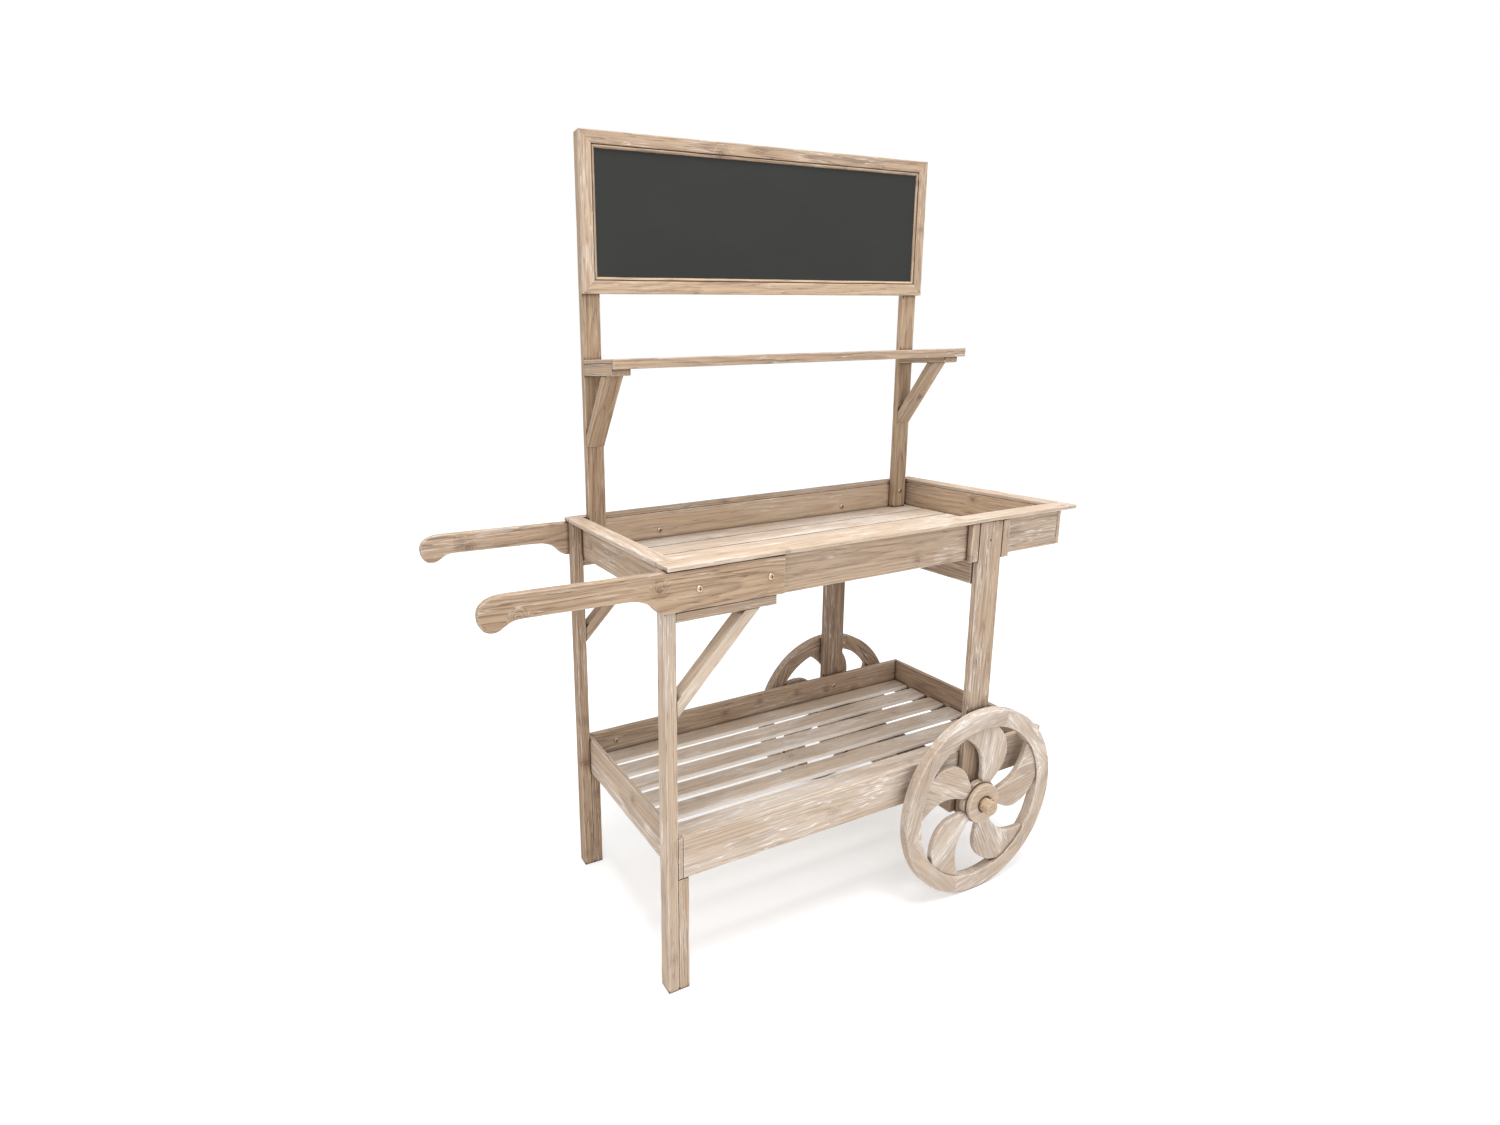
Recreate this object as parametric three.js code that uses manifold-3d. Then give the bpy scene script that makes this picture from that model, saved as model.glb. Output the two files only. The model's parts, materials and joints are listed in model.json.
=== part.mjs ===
// A wooden vendor push cart: two slatted trays on legs and wheels, two curved push
// handles, and two rear posts carrying a narrow shelf and a framed chalkboard.
// Millimetres. X runs from the handles to the wheels, Y from front to back, Z up.
// Lengths are first set out from the left legs' outer face, the front boards' outer
// face and the floor. The cart group then moves them so the origin is the middle of
// the cart's footprint, on the floor.

import * as THREE from 'three';
import { mergeVertices } from 'three/addons/utils/BufferGeometryUtils.js';
import Module from 'manifold-3d';

const wasm = await Module();
wasm.setup();

// ---- Driving dimensions --------------------------------------------------------

const DEPTH = 475;            // outer faces of the front and rear boards
const BOARD = 11;             // board thickness
const TRAY_X = [24, 1054];    // outer faces of both trays' side boards
const LOWER_Z = [257, 347];
const TOP_Z = [814, 898];
const TOTAL_HEIGHT = 1750;
const ORIGIN = [367, DEPTH / 2, 0];

const LEG_X = [0, 24];
const LEG_DEPTH = 32;
const BLOCK_X = [24, 48];
const BLOCK_GAP = 1;          // between a leg block and the lower tray

const SLAT_THICK = 10;
const BATTEN_WIDTH = 20;
const LOWER_SLATS = 7;
const LOWER_SLAT_GAP = 17;
const LOWER_BATTEN_HEIGHT = 20;
const TOP_SLATS = 6;
const TOP_SLAT_GAP = 4;
const TOP_BATTEN_HEIGHT = 8;

const CAP_THICK = 9;
const CAP_X = [-2, 1082];
const CAP_OVERHANG = 17;      // past the boards' faces, front and back
const CAP_LEFT_WIDTH = 38;
const CAP_RIGHT_WIDTH = 39;
const CAP_FRONT_WIDTH = 45;
const CAP_REAR_WIDTH = 28;

const RIGHT_LEG_X = [776, 845];
const RIGHT_LEG_THICK = 14;
const RIGHT_LEG_FOOT_Z = 188;
const CLEAT_WIDTH = 21;
const CLEAT_GAP = 2;
const CLEAT_FOOT_Z = 811;

const CROSS_RAIL_X = [773, 795];
const CROSS_RAIL_Z = [756, 813];
const BEAM_X = [760, 860];
const BEAM_Z = [190, 256];

const WHEEL_RADIUS = 229;
const RIM_WIDTH = 42;
const RIM_THICK = 22;
const RIM_OUTSET = 44;        // board face to the rim's outer face
const WEB_THICK = 13;
const WEB_RECESS = 4;         // spokes set back from the rim's outer face
const SPOKES = 5;
const SPOKE_HUB_RADIUS = 52;
const SPOKE_EMBED = 3;        // how far a spoke runs into the rim
const HUB_DISC_RADIUS = 48;
const HUB_DISC_THICK = 12;
const ROUND_SEGMENTS = 48;
const RIM_SEGMENTS = 96;

const AXLE_X = 810;
const AXLE_RADIUS = 17;
const AXLE_OUTSET = 74;
const WHEEL_CLEARANCE = 0.08;
const FIXED_BORE_CLEARANCE = 0.3;
const PIN_RADIUS = 2;
const PIN_LENGTH = 41;
const PIN_OUTSET = 59;
const PIN_SHIFT = [-1.5, 8];  // pin centre from the axle's axis, along X and Z
const PIN_TILT = THREE.MathUtils.degToRad(12);

const HANDLE_THICK = 15;
const HANDLE_GRIP_Z = 873;

const ARM_X = [24, 248];
const ARM_HEIGHT = 20;
const ARM_DEPTH = 30;
const BRACE_FOOT_Z = 602;
const BRACE_CUT = 36;         // upright cut against the leg
const BRACE_TOP_X = 210.5;

const POST_X = [[43, 87], [981, 1025]];
const POST_Y = [447, 464];
const SHELF_X = [43, 1042];
const SHELF_TOP_Z = 1271;
const SHELF_THICK = 9;
const SHELF_FRONT_Y = 287;
const FASCIA_THICK = 10;
const FASCIA_HEIGHT = 21;
const SHELF_ARM_HEIGHT = 26;
const SHELF_BRACE_FOOT_Z = 1071;
const SHELF_BRACE_FOOT_CUT = 30;
const SHELF_BRACE_TOP_Y = 332.5;
const SHELF_BRACE_TOP_CUT = 21;

const SIGN_X = [43, 1030];
const SIGN_Z = [1414, TOTAL_HEIGHT];
const SIGN_THICK = 13;
const SIGN_MEMBER = 36;
const SIGN_REBATE = 6;        // the chalkboard's edge hidden behind the frame
const SIGN_LIP = 5;           // frame left in front of the chalkboard
const CHALKBOARD_THICK = 6;
const REBATE_CLEARANCE = 0.3;
const MITRE_GAP = 0.2;        // each member's end, back from the mitre line

// ---- Materials -----------------------------------------------------------------

const WASHED_WOOD = 0xc9b29b;
const PALE_WOOD = 0xd6c3ab;
const WHEEL_WOOD = 0xc4ad92;
const SLATE = 0x3e3e3b;
const STEEL = 0x9a958c;

function material(color, roughness = 0.8, metalness = 0) {
  return new THREE.MeshStandardMaterial({ color, roughness, metalness });
}

// ---- Geometry helpers ----------------------------------------------------------

function toManifold(geometry) {
  const bare = geometry.clone();
  bare.deleteAttribute('normal');
  bare.deleteAttribute('uv');
  const merged = mergeVertices(bare);
  const mesh = new wasm.Mesh({
    numProp: 3,
    vertProperties: new Float32Array(merged.attributes.position.array),
    triVerts: new Uint32Array(merged.index.array),
  });
  return new wasm.Manifold(mesh);
}

function toGeometry(solid) {
  const mesh = solid.getMesh();
  const geometry = new THREE.BufferGeometry();
  geometry.setAttribute('position', new THREE.BufferAttribute(mesh.vertProperties, 3));
  geometry.setIndex(new THREE.BufferAttribute(mesh.triVerts, 1));
  geometry.computeVertexNormals();
  return geometry;
}

function union(geometries) {
  const solids = geometries.map(toManifold);
  return toGeometry(solids.reduce((whole, piece) => whole.add(piece)));
}

function subtract(geometry, cutter) {
  return toGeometry(toManifold(geometry).subtract(toManifold(cutter)));
}

function box([x0, x1], [y0, y1], [z0, z1]) {
  const geometry = new THREE.BoxGeometry(x1 - x0, y1 - y0, z1 - z0);
  return geometry.translate((x0 + x1) / 2, (y0 + y1) / 2, (z0 + z1) / 2);
}

function shapeFrom(points) {
  return new THREE.Shape(points.map(([a, b]) => new THREE.Vector2(a, b)));
}

// An outline in X and Z, given thickness from y0 to y1.
function extrudeAlongY(shape, [y0, y1]) {
  const geometry = new THREE.ExtrudeGeometry(shape, { depth: y1 - y0, bevelEnabled: false });
  return geometry.rotateX(Math.PI / 2).translate(0, y1, 0);
}

// An outline in Y and Z, given thickness from x0 to x1.
function extrudeAlongX(shape, [x0, x1]) {
  const geometry = new THREE.ExtrudeGeometry(shape, { depth: x1 - x0, bevelEnabled: false });
  const turn = new THREE.Matrix4().makeBasis(
    new THREE.Vector3(0, 1, 0),
    new THREE.Vector3(0, 0, 1),
    new THREE.Vector3(1, 0, 0),
  );
  return geometry.applyMatrix4(turn).translate(x0, 0, 0);
}

// A cylinder along Y. Its facets have a corner at the bottom.
function rod(radius, [y0, y1], x = 0, z = 0, segments = ROUND_SEGMENTS) {
  const geometry = new THREE.CylinderGeometry(radius, radius, y1 - y0, segments);
  return geometry.translate(x, (y0 + y1) / 2, z);
}

const cart = new THREE.Group();
cart.position.set(-ORIGIN[0], -ORIGIN[1], -ORIGIN[2]);

function add(name, geometry, paint, parent = cart) {
  const mesh = new THREE.Mesh(geometry, paint);
  mesh.name = name;
  parent.add(mesh);
  return mesh;
}

// The front and the rear of the cart, as offsets from the boards' outer faces.
const SIDES = [
  { side: 'front', outward: (a, b) => [-b, -a], inward: (a, b) => [a, b] },
  {
    side: 'rear',
    outward: (a, b) => [DEPTH + a, DEPTH + b],
    inward: (a, b) => [DEPTH - b, DEPTH - a],
  },
];

// ---- Trays ---------------------------------------------------------------------

function addTrayBoards(tray, zRange, paint) {
  const [left, right] = TRAY_X;
  const between = [left + BOARD, right - BOARD];
  add(`${tray}_left_board`, box([left, left + BOARD], [0, DEPTH], zRange), paint());
  add(`${tray}_right_board`, box([right - BOARD, right], [0, DEPTH], zRange), paint());
  for (const { side, inward } of SIDES) {
    add(`${tray}_${side}_board`, box(between, inward(0, BOARD), zRange), paint());
  }
}

function battenRanges() {
  const inner = [TRAY_X[0] + BOARD, TRAY_X[1] - BOARD];
  return {
    left: [inner[0], inner[0] + BATTEN_WIDTH],
    right: [inner[1] - BATTEN_WIDTH, inner[1]],
  };
}

// Slats along X, evenly spaced over the tray's inner depth.
function slatBoxes(count, gap, bottom) {
  const inner = DEPTH - 2 * BOARD;
  const width = (inner - (count - 1) * gap) / count;
  const xRange = [TRAY_X[0] + BOARD, TRAY_X[1] - BOARD];
  return Array.from({ length: count }, (_, i) => {
    const y = BOARD + i * (width + gap);
    return box(xRange, [y, y + width], [bottom, bottom + SLAT_THICK]);
  });
}

function addLowerTray() {
  addTrayBoards('lower', LOWER_Z, () => material(WASHED_WOOD));
  const slatZ = LOWER_Z[0] + LOWER_BATTEN_HEIGHT;
  const battenY = [BOARD, DEPTH - BOARD];
  for (const [end, xRange] of Object.entries(battenRanges())) {
    add(`lower_${end}_batten`, box(xRange, battenY, [LOWER_Z[0], slatZ]), material(WASHED_WOOD));
  }
  slatBoxes(LOWER_SLATS, LOWER_SLAT_GAP, slatZ).forEach((slat, i) => {
    add(`lower_slat_${i + 1}`, slat, material(PALE_WOOD));
  });
}

// The top tray's slats, fixed to two battens as one panel.
function addTopTray() {
  addTrayBoards('top', TOP_Z, () => material(WASHED_WOOD));
  const slatZ = TOP_Z[0] + TOP_BATTEN_HEIGHT;
  const battens = Object.values(battenRanges()).map(
    (xRange) => box(xRange, [BOARD, DEPTH - BOARD], [TOP_Z[0], slatZ]),
  );
  const slats = slatBoxes(TOP_SLATS, TOP_SLAT_GAP, slatZ);
  add('top_floor', union([...battens, ...slats]), material(PALE_WOOD));
}

// Flat rails on the top tray's edge: front and rear run the full length.
function addCapRails() {
  const zRange = [TOP_Z[1], TOP_Z[1] + CAP_THICK];
  const front = [-CAP_OVERHANG, CAP_FRONT_WIDTH - CAP_OVERHANG];
  const rear = [DEPTH + CAP_OVERHANG - CAP_REAR_WIDTH, DEPTH + CAP_OVERHANG];
  const between = [front[1], rear[0]];
  const left = [CAP_X[0], CAP_X[0] + CAP_LEFT_WIDTH];
  const right = [CAP_X[1] - CAP_RIGHT_WIDTH, CAP_X[1]];
  add('cap_front_rail', box(CAP_X, front, zRange), material(PALE_WOOD));
  add('cap_rear_rail', box(CAP_X, rear, zRange), material(PALE_WOOD));
  add('cap_left_rail', box(left, between, zRange), material(PALE_WOOD));
  add('cap_right_rail', box(right, between, zRange), material(PALE_WOOD));
}

// ---- Legs ----------------------------------------------------------------------

function addLeftLegs() {
  const blockZ = [0, LOWER_Z[0] - BLOCK_GAP];
  for (const { side, inward } of SIDES) {
    const yRange = inward(0, LEG_DEPTH);
    add(`${side}_left_leg`, box(LEG_X, yRange, [0, TOP_Z[1]]), material(WASHED_WOOD));
    add(`${side}_left_leg_block`, box(BLOCK_X, yRange, blockZ), material(WASHED_WOOD));
  }
}

function addRightLegs() {
  const legZ = [RIGHT_LEG_FOOT_Z, TOP_Z[1]];
  const cleatZ = [CLEAT_FOOT_Z, TOP_Z[1]];
  const boreRadius = AXLE_RADIUS + FIXED_BORE_CLEARANCE;
  const leftCleat = [
    RIGHT_LEG_X[0] - CLEAT_GAP - CLEAT_WIDTH,
    RIGHT_LEG_X[0] - CLEAT_GAP,
  ];
  const rightCleat = [
    RIGHT_LEG_X[1] + CLEAT_GAP,
    RIGHT_LEG_X[1] + CLEAT_GAP + CLEAT_WIDTH,
  ];
  for (const { side, outward } of SIDES) {
    const yRange = outward(0, RIGHT_LEG_THICK);
    const bore = rod(boreRadius, [yRange[0] - 1, yRange[1] + 1], AXLE_X, WHEEL_RADIUS);
    const leg = subtract(box(RIGHT_LEG_X, yRange, legZ), bore);
    add(`${side}_right_leg`, leg, material(WASHED_WOOD));
    add(`${side}_left_cleat`, box(leftCleat, yRange, cleatZ), material(WASHED_WOOD));
    add(`${side}_right_cleat`, box(rightCleat, yRange, cleatZ), material(WASHED_WOOD));
  }
}

function addBrackets() {
  const armZ = [TOP_Z[0] - ARM_HEIGHT, TOP_Z[0]];
  const slope = (armZ[0] - BRACE_FOOT_Z) / (BRACE_TOP_X - ARM_X[0]);
  const brace = shapeFrom([
    [ARM_X[0], BRACE_FOOT_Z],
    [BRACE_TOP_X, armZ[0]],
    [BRACE_TOP_X - BRACE_CUT / slope, armZ[0]],
    [ARM_X[0], BRACE_FOOT_Z + BRACE_CUT],
  ]);
  for (const { side, inward } of SIDES) {
    const yRange = inward(0, ARM_DEPTH);
    add(`${side}_bracket_arm`, box(ARM_X, yRange, armZ), material(WASHED_WOOD));
    add(`${side}_bracket_brace`, extrudeAlongY(brace, yRange), material(WASHED_WOOD));
  }
}

// ---- Handles -------------------------------------------------------------------

// Bulb grip at the left, slim neck, then an S-curve down to the deep fixed end.
function handleOutline() {
  const shape = new THREE.Shape();
  shape.moveTo(256.5, 897);
  shape.lineTo(-4, 897.5);
  shape.lineTo(-300, 903);
  shape.bezierCurveTo(-330, 903.5, -348, 892, -348, HANDLE_GRIP_Z);
  shape.bezierCurveTo(-348, 852, -338, 841, -322, 841);
  shape.bezierCurveTo(-306, 841, -300, 858, -276, 858);
  shape.lineTo(-87, 854.5);
  shape.bezierCurveTo(-62, 854, -45, 850, -33, 838);
  shape.bezierCurveTo(-24, 828, -18, 820, -2, 819);
  shape.lineTo(254.5, 819);
  shape.closePath();
  return shape;
}

function addHandles() {
  for (const { side, outward } of SIDES) {
    const handle = extrudeAlongY(handleOutline(), outward(0, HANDLE_THICK));
    add(`${side}_handle`, handle, material(PALE_WOOD));
  }
}

// ---- Axle ----------------------------------------------------------------------

function addCrossMembers() {
  const rail = box(CROSS_RAIL_X, [0, DEPTH], CROSS_RAIL_Z);
  add('upper_cross_rail', rail, material(WASHED_WOOD));
  const boreRadius = AXLE_RADIUS + FIXED_BORE_CLEARANCE;
  const bore = rod(boreRadius, [-1, DEPTH + 1], AXLE_X, WHEEL_RADIUS);
  const beam = subtract(box(BEAM_X, [0, DEPTH], BEAM_Z), bore);
  add('axle_beam', beam, material(WASHED_WOOD));
}

function pinCentre(outward) {
  const [near, far] = outward(PIN_OUTSET, PIN_OUTSET);
  return [AXLE_X + PIN_SHIFT[0], (near + far) / 2, WHEEL_RADIUS + PIN_SHIFT[1]];
}

function pinShape(radius, length, centre) {
  const geometry = new THREE.CylinderGeometry(radius, radius, length, 16);
  geometry.rotateZ(Math.PI / 2).rotateY(-PIN_TILT);
  return geometry.translate(...centre);
}

// A dowel fixed in the beam and legs; a pin through each end keeps the wheel on.
function addAxle() {
  let axle = rod(AXLE_RADIUS, [-AXLE_OUTSET, DEPTH + AXLE_OUTSET], AXLE_X, WHEEL_RADIUS);
  for (const { side, outward } of SIDES) {
    const centre = pinCentre(outward);
    const hole = pinShape(PIN_RADIUS + FIXED_BORE_CLEARANCE, 2 * PIN_LENGTH, centre);
    axle = subtract(axle, hole);
    add(`${side}_linchpin`, pinShape(PIN_RADIUS, PIN_LENGTH, centre), material(STEEL, 0.4, 1));
  }
  add('axle_rod', axle, material(PALE_WOOD));
}

// ---- Wheels --------------------------------------------------------------------

// Points are a radius and an angle in degrees from the wheel's centre.
const SPOKE_LEADING = [[57, 52], [104, 49], [150, 59.5], [187, 75]];
const SPOKE_TRAILING = [[187, 110], [148, 99], [108, 90.5], [57, 88]];
const SPOKE_CURVE_STEPS = 14;

function polar([radius, degrees]) {
  const angle = THREE.MathUtils.degToRad(degrees);
  return new THREE.Vector2(radius * Math.cos(angle), radius * Math.sin(angle));
}

// Narrow at the hub and broad at the rim, both edges swept the same way.
function spokeShape() {
  const tip = WHEEL_RADIUS - RIM_WIDTH + SPOKE_EMBED;
  const leading = new THREE.SplineCurve(SPOKE_LEADING.map(polar));
  const trailing = new THREE.SplineCurve(SPOKE_TRAILING.map(polar));
  return new THREE.Shape([
    polar([SPOKE_HUB_RADIUS / 2, 60]),
    ...leading.getPoints(SPOKE_CURVE_STEPS),
    polar([tip, 76]),
    polar([tip, 92]),
    polar([tip, 109]),
    ...trailing.getPoints(SPOKE_CURVE_STEPS),
    polar([SPOKE_HUB_RADIUS / 2, 80]),
  ]);
}

function ring(outerRadius, innerRadius, yRange) {
  const outer = rod(outerRadius, yRange, 0, 0, RIM_SEGMENTS);
  const inner = rod(innerRadius, [yRange[0] - 1, yRange[1] + 1], 0, 0, RIM_SEGMENTS);
  return subtract(outer, inner);
}

function wheelGeometry(outward) {
  const rimY = outward(RIM_OUTSET - RIM_THICK, RIM_OUTSET);
  const webOutset = RIM_OUTSET - WEB_RECESS;
  const webY = outward(webOutset - WEB_THICK, webOutset);
  const spokes = Array.from({ length: SPOKES }, (_, i) => {
    const spoke = extrudeAlongY(spokeShape(), webY);
    return spoke.rotateY((-2 * Math.PI * i) / SPOKES);
  });
  const solid = union([
    ring(WHEEL_RADIUS, WHEEL_RADIUS - RIM_WIDTH, rimY),
    rod(SPOKE_HUB_RADIUS, webY),
    ...spokes,
  ]);
  return subtract(solid, rod(AXLE_RADIUS + WHEEL_CLEARANCE, [webY[0] - 1, webY[1] + 1]));
}

function hubDiscGeometry(outward) {
  const inner = RIM_OUTSET - WEB_RECESS;
  const yRange = outward(inner, inner + HUB_DISC_THICK);
  const bore = rod(AXLE_RADIUS + WHEEL_CLEARANCE, [yRange[0] - 1, yRange[1] + 1]);
  return subtract(rod(HUB_DISC_RADIUS, yRange), bore);
}

function addWheels() {
  for (const { side, outward } of SIDES) {
    const wheel = new THREE.Group();
    wheel.position.set(AXLE_X, 0, WHEEL_RADIUS);
    cart.add(wheel);
    add(`${side}_wheel`, wheelGeometry(outward), material(WHEEL_WOOD), wheel);
    add(`${side}_hub_disc`, hubDiscGeometry(outward), material(WHEEL_WOOD), wheel);
  }
}

// ---- Posts, shelf and sign -----------------------------------------------------

const POST_NAMES = ['left', 'right'];

function addPosts() {
  const foot = TOP_Z[0] + TOP_BATTEN_HEIGHT + SLAT_THICK;
  POST_X.forEach((xRange, i) => {
    const post = box(xRange, POST_Y, [foot, TOTAL_HEIGHT]);
    add(`${POST_NAMES[i]}_post`, post, material(WASHED_WOOD));
  });
}

function addShelf() {
  const boardZ = [SHELF_TOP_Z - SHELF_THICK, SHELF_TOP_Z];
  const fasciaY = [SHELF_FRONT_Y, SHELF_FRONT_Y + FASCIA_THICK];
  const behindFascia = [fasciaY[1], POST_Y[0]];
  const fasciaZ = [SHELF_TOP_Z - FASCIA_HEIGHT, SHELF_TOP_Z];
  const armZ = [boardZ[0] - SHELF_ARM_HEIGHT, boardZ[0]];
  const brace = shapeFrom([
    [POST_Y[0], SHELF_BRACE_FOOT_Z],
    [POST_Y[0], SHELF_BRACE_FOOT_Z + SHELF_BRACE_FOOT_CUT],
    [SHELF_BRACE_TOP_Y + SHELF_BRACE_TOP_CUT, armZ[0]],
    [SHELF_BRACE_TOP_Y, armZ[0]],
  ]);
  add('shelf_board', box(SHELF_X, behindFascia, boardZ), material(PALE_WOOD));
  add('shelf_fascia', box(SHELF_X, fasciaY, fasciaZ), material(PALE_WOOD));
  POST_X.forEach((xRange, i) => {
    const name = POST_NAMES[i];
    add(`${name}_shelf_arm`, box(xRange, behindFascia, armZ), material(WASHED_WOOD));
    add(`${name}_shelf_brace`, extrudeAlongX(brace, xRange), material(WASHED_WOOD));
  });
}

// One mitred frame member along the bottom of a rectangle, in X and Z.
function mitredOutline(length, width) {
  return shapeFrom([
    [MITRE_GAP, 0],
    [length - MITRE_GAP, 0],
    [length - MITRE_GAP - width, width],
    [MITRE_GAP + width, width],
  ]);
}

// The full width is left only in the front lip; behind it a rebate holds the panel.
function signMember(length, [y0, y1]) {
  const lip = extrudeAlongY(mitredOutline(length, SIGN_MEMBER), [y0, y0 + SIGN_LIP]);
  const narrow = mitredOutline(length, SIGN_MEMBER - SIGN_REBATE);
  return union([lip, extrudeAlongY(narrow, [y0 + SIGN_LIP - 1, y1])]);
}

function addSign() {
  const yRange = [POST_Y[0] - SIGN_THICK, POST_Y[0]];
  const [left, right] = SIGN_X;
  const [bottom, top] = SIGN_Z;
  const members = [
    ['sign_bottom_rail', right - left, left, bottom, 0],
    ['sign_right_stile', top - bottom, right, bottom, -Math.PI / 2],
    ['sign_top_rail', right - left, right, top, Math.PI],
    ['sign_left_stile', top - bottom, left, top, Math.PI / 2],
  ];
  for (const [name, length, x, z, turn] of members) {
    const member = signMember(length, yRange).rotateY(turn);
    add(name, member, material(PALE_WOOD)).position.set(x, 0, z);
  }
  const inset = SIGN_MEMBER - SIGN_REBATE + REBATE_CLEARANCE;
  const panelFront = yRange[0] + SIGN_LIP;
  const panel = box(
    [left + inset, right - inset],
    [panelFront, panelFront + CHALKBOARD_THICK],
    [bottom + inset, top - inset],
  );
  add('chalkboard', panel, material(SLATE, 0.9));
}

// ---- The whole cart ------------------------------------------------------------

addLeftLegs();
addRightLegs();
addLowerTray();
addTopTray();
addCapRails();
addBrackets();
addHandles();
addCrossMembers();
addAxle();
addWheels();
addPosts();
addShelf();
addSign();

export default cart;
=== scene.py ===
"""A weathered, lime-washed wooden vendor cart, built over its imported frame."""

import json
import math
import random

import bpy
from mathutils import Matrix, Vector, noise
from mathutils.geometry import tessellate_polygon
from mathutils.kdtree import KDTree

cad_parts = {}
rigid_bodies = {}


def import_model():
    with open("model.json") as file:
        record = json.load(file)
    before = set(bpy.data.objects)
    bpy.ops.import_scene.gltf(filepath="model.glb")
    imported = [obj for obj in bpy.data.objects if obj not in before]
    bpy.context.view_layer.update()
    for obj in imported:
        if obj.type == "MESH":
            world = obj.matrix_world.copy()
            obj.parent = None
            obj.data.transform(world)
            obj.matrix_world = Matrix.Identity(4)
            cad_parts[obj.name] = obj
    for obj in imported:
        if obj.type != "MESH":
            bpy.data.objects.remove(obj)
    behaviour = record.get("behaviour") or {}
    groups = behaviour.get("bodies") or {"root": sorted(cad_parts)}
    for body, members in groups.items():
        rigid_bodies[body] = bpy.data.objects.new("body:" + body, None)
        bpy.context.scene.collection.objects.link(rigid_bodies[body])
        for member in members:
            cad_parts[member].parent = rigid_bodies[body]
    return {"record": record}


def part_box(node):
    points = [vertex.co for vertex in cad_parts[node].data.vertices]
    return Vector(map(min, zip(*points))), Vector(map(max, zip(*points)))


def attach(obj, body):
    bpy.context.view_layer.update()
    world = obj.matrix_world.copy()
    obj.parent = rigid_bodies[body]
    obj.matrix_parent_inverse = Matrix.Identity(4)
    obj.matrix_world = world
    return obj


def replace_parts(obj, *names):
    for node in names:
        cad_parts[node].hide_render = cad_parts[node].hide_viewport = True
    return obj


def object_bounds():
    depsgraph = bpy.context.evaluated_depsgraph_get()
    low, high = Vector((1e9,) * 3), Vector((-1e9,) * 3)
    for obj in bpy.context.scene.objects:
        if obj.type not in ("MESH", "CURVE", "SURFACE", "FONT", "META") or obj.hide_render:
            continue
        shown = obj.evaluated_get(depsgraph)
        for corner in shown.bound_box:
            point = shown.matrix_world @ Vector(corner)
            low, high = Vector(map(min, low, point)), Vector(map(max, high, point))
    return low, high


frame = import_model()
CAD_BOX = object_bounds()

MM = 0.001
RECORD = frame["record"]
BODY_OF = {
    node: body for body, nodes in RECORD["behaviour"]["bodies"].items() for node in nodes
}
SLOT_OF = {part["node"]: part["material_slot"] for part in RECORD["subparts"]}
SIDES = ("front", "rear")
X, Y, Z = Vector((1, 0, 0)), Vector((0, 1, 0)), Vector((0, 0, 1))

# ---- Camera, floor and light ---------------------------------------------------

CAMERA_PLACE = Vector((-0.98307, -1.38317, 1.27529))
CAMERA_YAW = math.radians(23.344)
CAMERA_PITCH = math.radians(-11.849)
CAMERA_ROLL = math.radians(-1.752)
CAMERA_LENS = 18.003
CAMERA_SHIFT = (0.10, -0.03167)
SENSOR_WIDTH = 36
FLOOR_HALF = 30               # metres from the middle to each side
FLOOR_DROP = 0.5 * MM         # keeps the feet clear of the floor's surface
LIGHTS_AIM = (0, 0, 0.8)
# Each light's name, place, width in metres and power in watts.
LIGHTS = [
    ("top", (-0.3, -1.2, 6.0), 2.6, 285),
    ("key", (-1.4, -3.8, 2.3), 1.8, 22),
]


def make_camera():
    data = bpy.data.cameras.new("camera")
    data.sensor_fit = "HORIZONTAL"
    data.sensor_width = SENSOR_WIDTH
    data.lens = CAMERA_LENS
    data.shift_x, data.shift_y = CAMERA_SHIFT
    data.clip_start, data.clip_end = 0.05, 60
    flat = math.cos(CAMERA_PITCH)
    forward = Vector(
        (math.sin(CAMERA_YAW) * flat, math.cos(CAMERA_YAW) * flat, math.sin(CAMERA_PITCH))
    )
    right = Vector((math.cos(CAMERA_YAW), -math.sin(CAMERA_YAW), 0))
    up = right.cross(forward)
    cos_roll, sin_roll = math.cos(CAMERA_ROLL), math.sin(CAMERA_ROLL)
    rolled_right = right * cos_roll + up * sin_roll
    rolled_up = up * cos_roll - right * sin_roll
    turn = Matrix((rolled_right, rolled_up, -forward)).transposed()
    camera = bpy.data.objects.new("camera", data)
    camera.matrix_world = Matrix.Translation(CAMERA_PLACE) @ turn.to_4x4()
    bpy.context.scene.collection.objects.link(camera)
    bpy.context.scene.camera = camera


def make_floor():
    half = FLOOR_HALF
    corners = [(-half, -half, 0), (half, -half, 0), (half, half, 0), (-half, half, 0)]
    mesh = bpy.data.meshes.new("floor")
    mesh.from_pydata(corners, [], [(0, 1, 2, 3)])
    mesh.materials.append(plain_floor())
    floor = bpy.data.objects.new("floor", mesh)
    floor.location.z = CAD_BOX[0].z - FLOOR_DROP
    bpy.context.scene.collection.objects.link(floor)


def area_light(name, place, size, watts):
    data = bpy.data.lights.new(name, "AREA")
    data.shape = "DISK"
    data.size = size
    data.energy = watts
    light = bpy.data.objects.new(name, data)
    light.location = place
    aim = Vector(LIGHTS_AIM) - Vector(place)
    light.rotation_euler = aim.to_track_quat("-Z", "Y").to_euler()
    bpy.context.scene.collection.objects.link(light)


def make_lights():
    world = bpy.data.worlds.new("studio")
    world.use_nodes = True
    background = world.node_tree.nodes["Background"]
    background.inputs["Color"].default_value = (1, 1, 1, 1)
    background.inputs["Strength"].default_value = 1.0
    bpy.context.scene.world = world
    for name, place, size, watts in LIGHTS:
        area_light(name, place, size, watts)


# ---- Shader helpers ------------------------------------------------------------


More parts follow.
